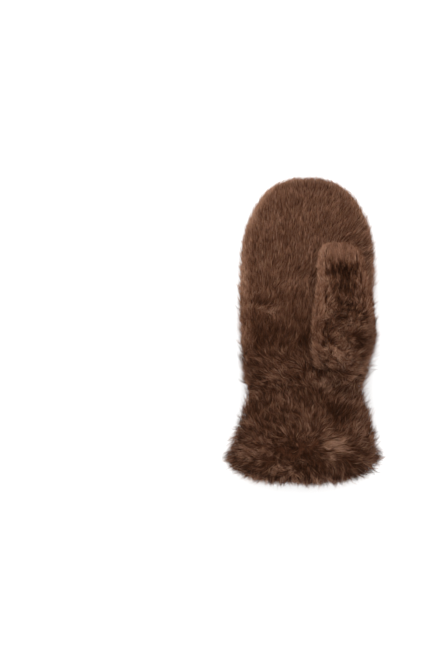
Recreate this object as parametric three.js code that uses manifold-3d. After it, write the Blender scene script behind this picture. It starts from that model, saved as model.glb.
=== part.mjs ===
// A right-hand fur mitten that lies on its back with the palm up.
// X runs across the hand towards the thumb side, Y from the hem to the fingertips, Z up.
// Every piece is a sewn fur panel: a knitted backing with its pile, which lies in overlapping
// locks: towards the tips on the hand and the thumb, and towards the hem on the cuff.
// Millimetres. The origin is under the middle of the mitten, on the surface that it lies on.
import * as THREE from "three";
import { mergeVertices } from "three/addons/utils/BufferGeometryUtils.js";
import Module from "manifold-3d";

const wasm = await Module();
wasm.setup();

// Main sizes, over the fur
const HAND_LENGTH = 187; // wrist seam to fingertip
const CUFF_LENGTH = 66; // wrist seam to hem, at the corners of the hem
const HEM_BOW = 16; // how much further the hem reaches in its middle
const HEM_CORNER = 4; // 2 bows evenly, and more is straighter with rounder corners
const HAND_WIDTH = 123;
const WRIST_WIDTH = 106;
const CUFF_WIDTH = 135;
const HAND_THICKNESS = 46; // before its fur is pressed on the table
const WRIST_THICKNESS = 37;
const CUFF_THICKNESS = 54;
const WRIST_HEIGHT = 19; // middle of the wrist above the table
const FLATTENED = 6.5; // fur that is pressed flat under the hand and the cuff
const TIP_LENGTH = 76; // stretch over which the hand's outline rounds off
const NOSE_LENGTH = 44; // stretch over which its thickness rounds off

// Fur fabric
const BACKING = 2.5; // knitted backing
const PILE = 9; // pile as it lies
const WRIST_PILE = 6.5; // pile squeezed by the gathered seam
const THUMB_PILE = 5.5; // shorter pile of the thumb, squeezed round the thumb's tube
const LOCK_WIDTH = 9.5;
const LOCK_LENGTH = 11.5;
const SEAM_GAP = 0.3; // between two pieces that are sewn together

// Seams, measured on the palm side from the outline inwards
const SIDE_SEAM_INSET = 9; // the back panel wraps round the little-finger edge
const THUMB_SEAM_INSET = 7; // the under panel of the thumb wraps up round its front panel

// Hem of the cuff: the fur turns over the edge and a short way up inside
const HEM_ROUND = 7; // stretch over which the hem rounds off
const HEM_HEIGHT = 0.94; // of the last locks on the outside, as a share of the pile's depth
const TURN_LENGTH = 17;
const TURN_THICKNESS = 6;

// Thumb
const THUMB_WIDTH = 54; // at its widest
const THUMB_TIP_WIDTH = 39;
const THUMB_THICKNESS = 29;
const THUMB_REACH = 73; // crotch to thumb tip
const THUMB_TIP_LENGTH = 17; // stretch over which the thumb rounds off
const THUMB_BASE_WIDTH = 41;
const THUMB_TUCK = 0.3; // share of the turn into the palm after which its root narrows
const THUMB_BASE_SHIFT = 4; // how far its root lies nearer the middle of the palm
const THUMB_BASE_LENGTH = 44; // along the hand
const THUMB_CROTCH = 56; // crotch, from the wrist seam
const THUMB_OFFSET = 33; // middle of the thumb, from the middle of the wrist
const THUMB_SINK = 5; // how far the thumb presses into the fur of the palm
const CROTCH_RADIUS = 1.2;
const NECK_OVERLAP = 1; // how far the thumb's edge stands into the hand

// Outline and side view of the hand. along: share of HAND_LENGTH from the wrist seam. wide and
// thick: how far the size has grown from the wrist's to the hand's. drift: how far the middle
// lies towards the thumb, as a share of HAND_WIDTH.
const HAND_SECTIONS = [
  { along: 0.0, wide: 0.0, thick: 0.0, drift: 0.016 },
  { along: 0.05, wide: 0.31, thick: 0.34, drift: 0.008 },
  { along: 0.1, wide: 0.55, thick: 0.62, drift: 0.018 },
  { along: 0.16, wide: 0.82, thick: 0.84, drift: 0.022 },
  { along: 0.24, wide: 0.97, thick: 0.97, drift: 0.025 },
  { along: 0.44, wide: 0.96, thick: 1.0, drift: 0.016 },
  { along: 0.6, wide: 0.97, thick: 0.98, drift: 0.026 },
  { along: 1.0, wide: 1.0, thick: 0.86, drift: 0.032 },
];

// The same for the cuff, with shares of CUFF_LENGTH and CUFF_WIDTH, growing from the wrist's size.
const CUFF_SECTIONS = [
  { along: 0.0, wide: 0.0, thick: 0.0, drift: 0.013 },
  { along: 0.12, wide: 0.12, thick: 0.22, drift: 0.017 },
  { along: 0.29, wide: 0.38, thick: 0.5, drift: 0.017 },
  { along: 0.44, wide: 0.56, thick: 0.72, drift: 0.014 },
  { along: 0.61, wide: 0.8, thick: 0.88, drift: 0.01 },
  { along: 0.76, wide: 0.93, thick: 0.97, drift: 0.004 },
  { along: 1.0, wide: 1.0, thick: 1.0, drift: -0.004 },
];

// Side view of the thumb, from its tip to the crotch, where it starts to turn down into the palm.
// along: share of THUMB_REACH from the crotch. wide: how far the width has grown from the tip's
// to the full one. drift: towards the thumb side, as a share of THUMB_WIDTH.
const THUMB_SECTIONS = [
  { along: 0.0, wide: 1.0, thick: 1.0, drift: 0.03 },
  { along: 0.29, wide: 0.82, thick: 0.98, drift: 0.03 },
  { along: 0.5, wide: 0.5, thick: 0.94, drift: 0.02 },
  { along: 0.76, wide: 0.14, thick: 0.88, drift: -0.01 },
  { along: 1.0, wide: 0.0, thick: 0.84, drift: -0.05 },
];

// How the fur turns over the hem. back: share of TURN_LENGTH up from the hem. height: 0 at the
// turned-in fur's face and 1 at the outer fur's. tuft: how far locks stand out of the row
// towards the hem, as a share of TURN_LENGTH.
const HEM_TURN = [
  { back: 0.08, height: 0.7, tuft: 0.08 },
  { back: 0.08, height: 0.3, tuft: 0.05 },
  { back: 0.41, height: 0.03, tuft: -0.08 },
  { back: 0.71, height: 0.0, tuft: -0.12 },
  { back: 1.0, height: 0.1, tuft: -0.08 },
];
const TURN_TAPER = 0.2; // over which its end thins to the backing, as a share of TURN_LENGTH

// Roundness of a section: 1 is an ellipse, and less is boxier.
const BODY_ROUNDNESS = 0.76;
const THUMB_ROUNDNESS = 0.86;
const TIP_FULLNESS = 2.4; // 2 is an ellipse, and more is blunter
const THUMB_FULLNESS = 3.8; // the same for the outline of the thumb

// Heights in the pile, as shares of the depth from the backing's inner face to the lock tips
const LOCK_TIP = { middle: 1.0, between: 0.66 };
const LOCK_ROOT = { middle: 0.62, between: 0.5 };
const SEAM_HEIGHT = 0.56;
const PRESSED_HEIGHT = 0.55; // of the palm's fur under the thumb
const LOCK_STAGGER = 0.24; // how far a lock's tip reaches past its row, as a share of the row
const LOCK_STEP = 0.08; // how far past a lock's tip the next root lies, as a share of the row
const TIP_CALM = 0.4; // share of the locks' relief that the rounded tips have
const LOCK_JITTER = 0.09; // share by which locks differ
const LOCK_SWAY = 0.25; // how far a tip leans to one side, as a share of a lock's half width

const HALF_TURN = Math.PI;
const FULL_TURN = 2 * Math.PI;
const { lerp, clamp } = THREE.MathUtils;

// A repeatable number from -1 to 1 for each pair of whole numbers.
function scatter(a, b) {
  const n = Math.sin(a * 127.1 + b * 311.7) * 43758.5453;
  return 2 * (n - Math.floor(n)) - 1;
}

// Reads a table of sections at a share along it, smoothly between its rows.
function sectionAt(table, along, key) {
  let next = table.findIndex((row) => row.along >= along);
  if (next < 0) next = table.length - 1;
  if (next === 0) return table[0][key];
  const [a, b] = [table[next - 1], table[next]];
  const share = (along - a.along) / (b.along - a.along);
  return lerp(a[key], b[key], (share + THREE.MathUtils.smoothstep(share, 0, 1)) / 2);
}

// A point of a rounded section, as shares of its half width and half thickness.
function roundedSection(angle, roundness) {
  const power = (v) => Math.sign(v) * Math.abs(v) ** roundness;
  return [power(Math.cos(angle)), power(Math.sin(angle))];
}

// The angle at which a seam lies that is inset from the outline.
function seamAngle(inset, halfWidth, roundness) {
  return Math.acos((1 - inset / halfWidth) ** (1 / roundness));
}

// How much of its size a rounded end still has, and how steeply its surface faces the end.
function roundedEnd(distance, length, fullness = TIP_FULLNESS) {
  const share = clamp(1 - distance / length, 0, 1);
  const left = Math.max(0, 1 - share * share) ** (1 / fullness);
  const slope = share ** fullness;
  const facing = slope / Math.hypot(slope, Math.max(left, 1e-6));
  return { left, facing, flat: Math.sqrt(Math.max(0, 1 - facing * facing)) };
}

// How steeply a place on a section faces the end, between its outline and its side view.
function facingAt(outline, side, across, up) {
  const sideways = across * across;
  return lerp(side.facing, outline.facing, sideways / (sideways + up * up));
}

// The hand. Station 0 is the fingertip and 1 the wrist seam, and depth runs from 0, the inner
// face of the backing, to 1, the tips of the pile.
function handPoint(station, angle, depth) {
  const along = 1 - station;
  const read = (key) => sectionAt(HAND_SECTIONS, along, key);
  const outline = roundedEnd(station * HAND_LENGTH, TIP_LENGTH);
  const side = roundedEnd(station * HAND_LENGTH, NOSE_LENGTH);
  const halfWidth = (lerp(WRIST_WIDTH, HAND_WIDTH, read("wide")) / 2) * outline.left;
  const halfThick = (lerp(WRIST_THICKNESS, HAND_THICKNESS, read("thick")) / 2) * side.left;
  const bodyHeight = HAND_THICKNESS / 2 - FLATTENED;
  const height = lerp(WRIST_HEIGHT, bodyHeight, Math.min(1, read("thick")));
  const wall = BACKING + lerp(WRIST_PILE, PILE, Math.min(1, read("wide")));
  const [across, up] = roundedSection(angle, BODY_ROUNDNESS);
  const inward = (1 - depth) * wall;
  const x = across * Math.max(halfWidth - inward * outline.flat, 0);
  const z = up * Math.max(halfThick - inward * side.flat, 0);
  return new THREE.Vector3(
    read("drift") * HAND_WIDTH + x,
    along * HAND_LENGTH - inward * facingAt(outline, side, across, up),
    height + z,
  );
}

// The cuff. Station 0 is the wrist seam and 1 the hem.
function cuffPoint(station, angle, depth) {
  const read = (key) => sectionAt(CUFF_SECTIONS, station, key);
  const halfWidth = lerp(WRIST_WIDTH, CUFF_WIDTH, read("wide")) / 2;
  const halfThick = lerp(WRIST_THICKNESS, CUFF_THICKNESS, read("thick")) / 2;
  const height = lerp(WRIST_HEIGHT, CUFF_THICKNESS / 2 - FLATTENED, read("thick"));
  const wall = BACKING + lerp(WRIST_PILE, PILE, read("wide"));
  const [across, up] = roundedSection(angle, BODY_ROUNDNESS);
  const inward = (1 - depth) * wall;
  const bow = HEM_BOW * station * (1 - Math.abs(across) ** HEM_CORNER);
  return new THREE.Vector3(
    read("drift") * CUFF_WIDTH + across * (halfWidth - inward),
    -station * CUFF_LENGTH - bow,
    height + up * (halfThick - inward),
  );
}

// Height of the palm's top face along the middle of the hand.
function palmHeight(along, depth) {
  return handPoint(1 - along, HALF_TURN / 2, depth).z;
}

// Height of the inner face of the palm's backing at a place on the palm.
function innerHeight(x, y) {
  const station = 1 - y / HAND_LENGTH;
  const side = handPoint(station, 0, 0);
  const top = handPoint(station, HALF_TURN / 2, 0);
  const across = clamp(Math.abs((x - top.x) / (side.x - top.x)), 0, 0.985);
  const up = (1 - across ** (2 / BODY_ROUNDNESS)) ** (BODY_ROUNDNESS / 2);
  return side.z + up * (top.z - side.z) - NECK_OVERLAP;
}

// The thumb: straight from its tip to the crotch, then a fan of sections that turn about the
// crotch until they lie in the palm, and a neck that goes on down to the inside of the palm.
const CROTCH_HEIGHT = palmHeight(THUMB_CROTCH / HAND_LENGTH, 1) - THUMB_SINK;
const NECK_LENGTH = CROTCH_HEIGHT - palmHeight(THUMB_CROTCH / HAND_LENGTH, 0);
const FAN_LENGTH = (HALF_TURN / 4) * THUMB_BASE_LENGTH;
const THUMB_PATH = THUMB_REACH + FAN_LENGTH + NECK_LENGTH;
const THUMB_WALL = BACKING + THUMB_PILE;

function thumbPoint(station, angle, depth, grow = 0) {
  const travelled = station * THUMB_PATH;
  const along = clamp(1 - travelled / THUMB_REACH, 0, 1);
  const turned = clamp((travelled - THUMB_REACH) / FAN_LENGTH, 0, 1);
  const sunk = Math.max(0, travelled - THUMB_REACH - FAN_LENGTH) / NECK_LENGTH;
  const read = (key) => sectionAt(THUMB_SECTIONS, along, key);
  const outline = roundedEnd(travelled, THUMB_TIP_LENGTH, THUMB_FULLNESS);
  const side = roundedEnd(travelled, THUMB_TIP_LENGTH);
  const fullWidth = lerp(THUMB_TIP_WIDTH, THUMB_WIDTH, read("wide"));
  const settled = THREE.MathUtils.smoothstep(turned, 0, 1);
  const tucked = THREE.MathUtils.smoothstep(turned, THUMB_TUCK, 1);
  const halfWidth = (lerp(fullWidth, THUMB_BASE_WIDTH, tucked) / 2) * outline.left;
  const thickness = lerp(THUMB_THICKNESS * read("thick"), THUMB_BASE_LENGTH, settled);
  const halfThick = (thickness / 2) * side.left;
  const inward = (1 - depth) * THUMB_WALL - grow;
  const [across, up] = roundedSection(angle, THUMB_ROUNDNESS);
  const out = up * Math.max(halfThick - inward * side.flat, 0) + thickness / 2 + CROTCH_RADIUS;
  const turn = (1 - turned) * (HALF_TURN / 2);
  const middle = THUMB_OFFSET + read("drift") * THUMB_WIDTH - tucked * THUMB_BASE_SHIFT;
  const reached = along * THUMB_REACH - inward * facingAt(outline, side, across, up);
  const point = new THREE.Vector3(
    middle + across * Math.max(halfWidth - inward * outline.flat, 0),
    THUMB_CROTCH + reached - out * Math.cos(turn),
    CROTCH_HEIGHT + out * Math.sin(turn),
  );
  if (sunk > 0) point.z += sunk * (innerHeight(point.x, point.y) - CROTCH_HEIGHT);
  return point;
}

// Whether a point of the palm lies under the thumb, where its fur is pressed down.
function underThumb({ x, y }) {
  const past = y - THUMB_CROTCH;
  if (past > THUMB_REACH || past < -THUMB_BASE_LENGTH - CROTCH_RADIUS) return false;
  const station = (THUMB_REACH - Math.max(past, 0)) / THUMB_PATH;
  const [left, right] = [HALF_TURN, 0].map((angle) => thumbPoint(station, angle, 1).x);
  return x > left && x < right;
}

// Values of a parameter from 0 to 1 that lie evenly along a curve.
function evenly(curve, from, to, count) {
  const fine = 160;
  const at = (i) => lerp(from, to, i / fine);
  const reached = [0];
  for (let i = 1; i <= fine; i += 1) {
    reached.push(reached[i - 1] + curve(at(i)).distanceTo(curve(at(i - 1))));
  }
  return Array.from({ length: count + 1 }, (_, k) => {
    const wanted = (reached[fine] * k) / count;
    const i = Math.max(1, reached.findIndex((r) => r >= wanted - 1e-9));
    const step = reached[i] - reached[i - 1];
    return at(i - 1 + (step ? (wanted - reached[i - 1]) / step : 0));
  });
}

function lengthOf(curve, from, to) {
  const fine = 80;
  let total = 0;
  for (let i = 0; i < fine; i += 1) {
    const [a, b] = [lerp(from, to, i / fine), lerp(from, to, (i + 1) / fine)];
    total += curve(a).distanceTo(curve(b));
  }
  return total;
}

// Points and triangles of one closed piece.
class Skin {
  constructor() {
    this.points = [];
    this.faces = [];
  }

  add(point) {
    this.points.push(point);
    return this.points.length - 1;
  }

  // Joins rings of equal length, the first of which may be a single pole.
  grid(rings, closed, outward) {
    for (let r = 0; r + 1 < rings.length; r += 1) {
      const [a, b] = [rings[r], rings[r + 1]];
      const sides = b.length - (closed ? 0 : 1);
      for (let j = 0; j < sides; j += 1) {
        const k = (j + 1) % b.length;
        if (a.length > 1) this.face(a[j], a[k], b[j], outward);
        this.face(a.length > 1 ? a[k] : a[0], b[k], b[j], outward);
      }
    }
  }

  face(a, b, c, outward = true) {
    this.faces.push(outward ? [a, b, c] : [a, c, b]);
  }

  // Zips the edge of the outer face to the edge of the inner face.
  bridge(outer, inner, outward) {
    let [i, k] = [0, 0];
    while (i + 1 < outer.length || k + 1 < inner.length) {
      const outerNext = (i + 1) / (outer.length - 1);
      const innerNext = (k + 1) / (inner.length - 1);
      const takeOuter = k + 1 >= inner.length || (i + 1 < outer.length && outerNext <= innerNext);
      if (takeOuter) {
        this.face(outer[i + 1], outer[i], inner[k], outward);
        i += 1;
      } else {
        this.face(inner[k], inner[k + 1], outer[i], outward);
        k += 1;
      }
    }
  }

  geometry() {
    const made = new THREE.BufferGeometry();
    const position = new Float32Array(this.points.flatMap((p) => p.toArray()));
    made.setAttribute("position", new THREE.BufferAttribute(position, 3));
    made.setIndex(this.faces.flat());
    return made;
  }
}

// Angles that lie evenly round a section, read at any column from the first to the last.
const evenCache = new Map();
function evenAngles(form, station, patch) {
  const near = Math.round(Math.max(station, 0.015) * 250) / 250;
  const key = [form.name, near, patch.from, patch.to, patch.columns].join();
  if (!evenCache.has(key)) {
    const round = (angle) => form(near, angle, 1);
    evenCache.set(key, evenly(round, patch.from, patch.to, patch.columns));
  }
  const angles = evenCache.get(key);
  return (column) => {
    const whole = clamp(Math.floor(column), 0, patch.columns - 1);
    return lerp(angles[whole], angles[whole + 1], column - whole);
  };
}

// A point of a patch, moved half a seam's gap into its own panel when it lies on the edge.
function patchPoint(form, patch, station, column, height) {
  const angle = evenAngles(form, station, patch)(column);
  const depth = patch.pressed && height > PRESSED_HEIGHT && underThumb(form(station, angle, 1))
    ? PRESSED_HEIGHT
    : height;
  const point = form(station, angle, depth);
  const first = column === 0;
  if (patch.closed || !(first || column === patch.columns)) return point;
  const small = 0.01;
  const along = form(station, angle + small, depth).sub(form(station, angle - small, depth));
  return point.addScaledVector(along.normalize(), (first ? 1 : -1) * (SEAM_GAP / 2));
}

// The pole of a rounded end, moved half a seam's gap towards the middle of its own panel.
function polePoint(form, { from, to }, depth) {
  const middle = (from + to) / 2;
  const towards = form(0.03, middle, 1).sub(form(0.03, middle + HALF_TURN, 1)).setY(0);
  return form(0, 0, depth).addScaledVector(towards.normalize(), SEAM_GAP / 2);
}

// One ring of points round a patch. The place counts rows of locks from the first station.
function ring(form, patch, placeOf, depthOf, swayOf = () => 0) {
  const { columns, rows, stations, closed } = patch;
  return Array.from({ length: columns + (closed ? 0 : 1) }, (_, j) => {
    const place = placeOf(j);
    const whole = clamp(Math.floor(place), 0, rows - 1);
    const station = lerp(stations[whole], stations[whole + 1], place - whole);
    return patchPoint(form, patch, station, j + swayOf(j), depthOf(j));
  });
}

// The rings of a fur face: for each row of locks a ring of lock tips and a ring of roots in
// front of them. Locks of one row stand between those of the next, and none crosses a seam.
// lie is 1 where the locks point to the last station, and -1 where they point to the first.
function pileRings(form, patch) {
  const { rows, columns, closed, pole, endHeight, lie } = patch;
  const sewn = (j) => !closed && (j === 0 || j === columns);
  const rings = [];
  if (pole) rings.push([polePoint(form, patch, 1)]);
  else rings.push(ring(form, patch, () => 0, () => SEAM_HEIGHT));
  for (let row = 0; row < rows; row += 1) {
    const last = row === rows - 1;
    const middle = (j) => (row + j) % 2 === 0;
    const relief = pole && row === 0 ? TIP_CALM : 1;
    const stagger = last ? 0 : LOCK_STAGGER * relief * lie;
    const reach = (j) => (middle(j) ? stagger : -stagger) * (1 + 2 * LOCK_JITTER * scatter(row + 1, j));
    const height = (kind) => (j) => {
      if (sewn(j)) return SEAM_HEIGHT;
      if (last) return endHeight;
      const free = (middle(j) ? kind.middle : kind.between) * (1 + LOCK_JITTER * scatter(j, row));
      return Math.min(1, lerp(1, free, relief));
    };
    const sway = (j) => (sewn(j) || last ? 0 : LOCK_SWAY * scatter(row, j + 7));
    const place = (step) => (j) => row + 1 + step + (sewn(j) ? 0 : reach(j));
    const tips = ring(form, patch, place(0), height(LOCK_TIP), sway);
    if (last) {
      rings.push(tips);
    } else {
      const roots = ring(form, patch, place(lie * LOCK_STEP), height(LOCK_ROOT));
      rings.push(...(lie > 0 ? [tips, roots] : [roots, tips]));
    }
  }
  return rings;
}

// The plain inner face of a panel.
function liningRings(form, patch) {
  const coarse = { ...patch, columns: Math.ceil(patch.columns / 2) };
  const made = patch.lining.map((station) =>
    Array.from({ length: coarse.columns + 1 }, (_, j) => patchPoint(form, coarse, station, j, 0)),
  );
  if (patch.pole) made[0] = [polePoint(form, patch, 0)];
  return made;
}

// How a whole form is divided into rows, the same for all the panels that are sewn round it.
function rowsOf(form, angle) {
  const spine = (station) => form(station, angle, 1);
  const rows = Math.round(lengthOf(spine, 0, 1) / LOCK_LENGTH);
  const inner = (station) => form(station, angle, 0);
  const lining = evenly(inner, 0, 1, Math.ceil(rows / 2) + 1);
  return { rows, stations: evenly(spine, 0, 1, rows), lining };
}

// Fur lies on the table and goes no lower.
function restOnTable(point) {
  point.z = Math.max(point.z, 0);
  return point;
}

// A panel that is sewn along both of its sides: fur outside and backing inside.
function furPanel(form, division, { from, to, endHeight, pressed = false }) {
  const widest = (angle) => form(0.55, angle, 1);
  const columns = 2 * Math.round(lengthOf(widest, from, to) / LOCK_WIDTH);
  const patch = { ...division, from, to, endHeight, pressed, columns, closed: false, pole: true, lie: -1 };
  const skin = new Skin();
  const index = (rings) => rings.map((points) => points.map((p) => skin.add(restOnTable(p))));
  const fur = index(pileRings(form, patch));
  const lining = index(liningRings(form, patch));
  skin.grid(fur, false, true);
  skin.grid(lining, false, false);
  const first = (rings) => rings.map((points) => points[0]);
  const last = (rings) => rings.map((points) => points[points.length - 1]);
  skin.bridge(first(fur), first(lining), false);
  skin.bridge(last(fur), last(lining), true);
  skin.bridge(fur[fur.length - 1], lining[lining.length - 1], false);
  return skin.geometry();
}

// The cuff is one ring of fur fabric. Its fur turns over the hem and up inside.
function furCuff() {
  const widest = (angle) => cuffPoint(1, angle, 1);
  const columns = 2 * Math.round(lengthOf(widest, 0, FULL_TURN) / LOCK_WIDTH);
  const hem = 1 - HEM_ROUND / CUFF_LENGTH;
  const spine = (station) => cuffPoint(station, 0, 1);
  const rows = Math.round(lengthOf(spine, 0, hem) / LOCK_LENGTH);
  const stations = evenly(spine, 0, hem, rows);
  const whole = { from: 0, to: FULL_TURN, closed: true, lie: 1, endHeight: HEM_HEIGHT };
  const patch = { ...whole, rows, columns, stations };
  const turn = TURN_LENGTH / CUFF_LENGTH;
  const turnedFace = -TURN_THICKNESS / (BACKING + PILE);
  const round = (station, depth, tuft = 0) =>
    Array.from({ length: columns }, (_, j) => {
      const angle = evenAngles(cuffPoint, station, patch)(j);
      const stood = j % 2 ? 1 : 0.3 * (1 + scatter(j, 3));
      return cuffPoint(station + tuft * stood, angle, depth);
    });
  const skin = new Skin();
  const rings = pileRings(cuffPoint, patch);
  for (const { back, height, tuft } of HEM_TURN) {
    rings.push(round(1 - back * turn, lerp(turnedFace, 1, height), tuft * turn));
  }
  const lining = 1 - (1 + TURN_TAPER) * turn;
  for (const station of [lining, lining / 2, 0]) rings.push(round(station, 0));
  const index = rings.map((points) => points.map((p) => skin.add(restOnTable(p))));
  skin.grid([...index, index[0]], true, true);
  return skin.geometry();
}

function manifoldOf(geometry) {
  const bare = mergeVertices(geometry, 1e-4);
  return new wasm.Manifold(
    new wasm.Mesh({
      numProp: 3,
      vertProperties: bare.attributes.position.array,
      triVerts: new Uint32Array(bare.index.array),
    }),
  );
}

function geometryOf(manifold) {
  const { vertProperties, triVerts, numProp } = manifold.getMesh();
  const made = new THREE.BufferGeometry();
  const position = new Float32Array((vertProperties.length / numProp) * 3);
  for (let i = 0; i < position.length / 3; i += 1) {
    for (let axis = 0; axis < 3; axis += 1) position[3 * i + axis] = vertProperties[numProp * i + axis];
  }
  made.setAttribute("position", new THREE.BufferAttribute(position, 3));
  made.setIndex(new THREE.BufferAttribute(new Uint32Array(triVerts), 1));
  return made;
}

// Cuts the hole of the thumb and the trough that the thumb presses into the fur of the palm.
function openForThumb(geometry) {
  const skin = new Skin();
  const columns = 48;
  const stations = 60;
  const reach = 1 + (0.15 * NECK_LENGTH) / THUMB_PATH;
  const rings = Array.from({ length: stations + 1 }, (_, i) =>
    Array.from({ length: columns }, (_, j) => {
      const station = Math.max(1e-3, (reach * i) / stations);
      return skin.add(thumbPoint(station, (FULL_TURN * j) / columns, 1, SEAM_GAP));
    }),
  );
  skin.grid(rings, true, true);
  const cap = (points, outward) => {
    const centre = new THREE.Vector3();
    points.forEach((index) => centre.add(skin.points[index]));
    const middle = skin.add(centre.divideScalar(points.length));
    points.forEach((index, j) => skin.face(middle, index, points[(j + 1) % columns], outward));
  };
  cap(rings[0], false);
  cap(rings[rings.length - 1], true);
  return geometryOf(manifoldOf(geometry).subtract(manifoldOf(skin.geometry())));
}

const SIDE_SEAM = HALF_TURN - seamAngle(SIDE_SEAM_INSET, HAND_WIDTH / 2, BODY_ROUNDNESS);
const THUMB_SEAM = seamAngle(THUMB_SEAM_INSET, THUMB_WIDTH / 2, THUMB_ROUNDNESS);
const HAND_ROWS = rowsOf(handPoint, HALF_TURN / 2);
const THUMB_ROWS = rowsOf(thumbPoint, 0);
const shapes = {
  back_panel: furPanel(handPoint, HAND_ROWS, { from: SIDE_SEAM, to: FULL_TURN, endHeight: SEAM_HEIGHT }),
  palm_panel: openForThumb(
    furPanel(handPoint, HAND_ROWS, {
      from: 0,
      to: SIDE_SEAM,
      endHeight: SEAM_HEIGHT,
      pressed: true,
    }),
  ),
  thumb_back: furPanel(thumbPoint, THUMB_ROWS, {
    from: HALF_TURN - THUMB_SEAM,
    to: FULL_TURN + THUMB_SEAM,
    endHeight: 1,
  }),
  thumb_front: furPanel(thumbPoint, THUMB_ROWS, {
    from: THUMB_SEAM,
    to: HALF_TURN - THUMB_SEAM,
    endHeight: 1,
  }),
  cuff: furCuff().translate(0, -SEAM_GAP, 0),
};

const FUR_COLORS = {
  back_panel: 0x644536,
  palm_panel: 0x5a3c2d,
  thumb_back: 0x6a4a3a,
  thumb_front: 0x553829,
  cuff: 0x4c3123,
};

const mitten = new THREE.Group();
for (const [name, geometry] of Object.entries(shapes)) {
  const material = new THREE.MeshStandardMaterial({ color: FUR_COLORS[name], roughness: 0.95 });
  const mesh = new THREE.Mesh(geometry, material);
  mesh.name = name;
  mitten.add(mesh);
}

// Sets the mitten on the table with its middle over the origin.
const box = new THREE.Box3().setFromObject(mitten);
const middle = box.getCenter(new THREE.Vector3());
for (const mesh of mitten.children) mesh.geometry.translate(-middle.x, -middle.y, -box.min.z);

export default mitten;
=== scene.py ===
import math

import bpy
import numpy as np
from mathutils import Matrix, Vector, kdtree


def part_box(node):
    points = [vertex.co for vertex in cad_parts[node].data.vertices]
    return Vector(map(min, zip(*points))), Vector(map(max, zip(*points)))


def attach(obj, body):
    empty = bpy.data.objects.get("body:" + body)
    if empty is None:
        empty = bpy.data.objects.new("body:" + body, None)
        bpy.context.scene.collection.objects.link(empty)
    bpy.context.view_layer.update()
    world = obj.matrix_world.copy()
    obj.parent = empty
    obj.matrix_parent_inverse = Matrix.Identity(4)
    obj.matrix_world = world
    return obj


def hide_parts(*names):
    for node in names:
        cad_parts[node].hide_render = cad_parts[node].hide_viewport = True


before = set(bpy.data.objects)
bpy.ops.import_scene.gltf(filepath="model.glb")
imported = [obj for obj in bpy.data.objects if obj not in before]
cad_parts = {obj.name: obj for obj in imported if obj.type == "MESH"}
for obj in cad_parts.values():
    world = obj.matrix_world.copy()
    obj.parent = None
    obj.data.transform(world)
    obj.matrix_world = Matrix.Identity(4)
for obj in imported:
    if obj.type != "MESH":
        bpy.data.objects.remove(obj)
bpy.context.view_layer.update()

MM = 0.001
SEED = 20
DICE = np.random.default_rng(SEED)

# Camera: straight above, with the mitten at the right of a portrait frame
PIXEL = 0.88 * MM
FRAME_ROWS = 665
LENS = 100.0
SENSOR = 36.0
TRUE_HEIGHT = 30 * MM  # above the floor, where a pixel has exactly its size
CAMERA_HEIGHT = FRAME_ROWS * PIXEL * LENS / SENSOR + TRUE_HEIGHT
CAMERA_PLACE = (-71.7 * MM, -0.9 * MM, CAMERA_HEIGHT)

camera_data = bpy.data.cameras.new("camera")
camera_data.lens = LENS
camera_data.sensor_width = SENSOR
camera = bpy.data.objects.new("camera", camera_data)
camera.location = CAMERA_PLACE
bpy.context.scene.collection.objects.link(camera)
bpy.context.scene.camera = camera


# Helpers for nodes and objects


def only(obj):
    """Selects one object and makes it active."""
    bpy.ops.object.select_all(action="DESELECT")
    obj.select_set(True)
    bpy.context.view_layer.objects.active = obj


def new_material(name):
    material = bpy.data.materials.new(name)
    material.use_nodes = True
    tree = material.node_tree
    return material, tree, tree.nodes["Principled BSDF"]


def node(tree, kind, **values):
    made = tree.nodes.new(kind)
    for key, value in values.items():
        if key in made.inputs:
            made.inputs[key].default_value = value
        else:
            setattr(made, key, value)
    return made


def math_node(tree, operation, a, b=None):
    made = tree.nodes.new("ShaderNodeMath")
    made.operation = operation
    for slot, value in enumerate((a, b)):
        if value is None:
            continue
        if isinstance(value, (int, float)):
            made.inputs[slot].default_value = value
        else:
            tree.links.new(value, made.inputs[slot])
    return made.outputs[0]


def ramp(tree, factor, stops):
    made = tree.nodes.new("ShaderNodeValToRGB")
    elements = made.color_ramp.elements
    while len(elements) > 1:
        elements.remove(elements[-1])
    for i, (place, colour) in enumerate(stops):
        element = elements[0] if i == 0 else elements.new(place)
        element.position = place
        element.color = (*colour, 1.0)
    tree.links.new(factor, made.inputs["Fac"])
    return made.outputs["Color"]


def tint(red, green, blue):
    """A colour given on the scale from 0 to 255 as light values."""
    return tuple(
        c / 12.92 if c <= 0.04045 else ((c + 0.055) / 1.055) ** 2.4
        for c in (red / 255, green / 255, blue / 255)
    )


def multiply(tree, a, b):
    made = tree.nodes.new("ShaderNodeMix")
    made.data_type = "RGBA"
    made.blend_type = "MULTIPLY"
    made.inputs["Factor"].default_value = 1.0
    tree.links.new(a, made.inputs[6])
    tree.links.new(b, made.inputs[7])
    return made.outputs[2]


# Materials

HAIR_KINDS = 4  # strips of the hair map, one above the other


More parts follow.
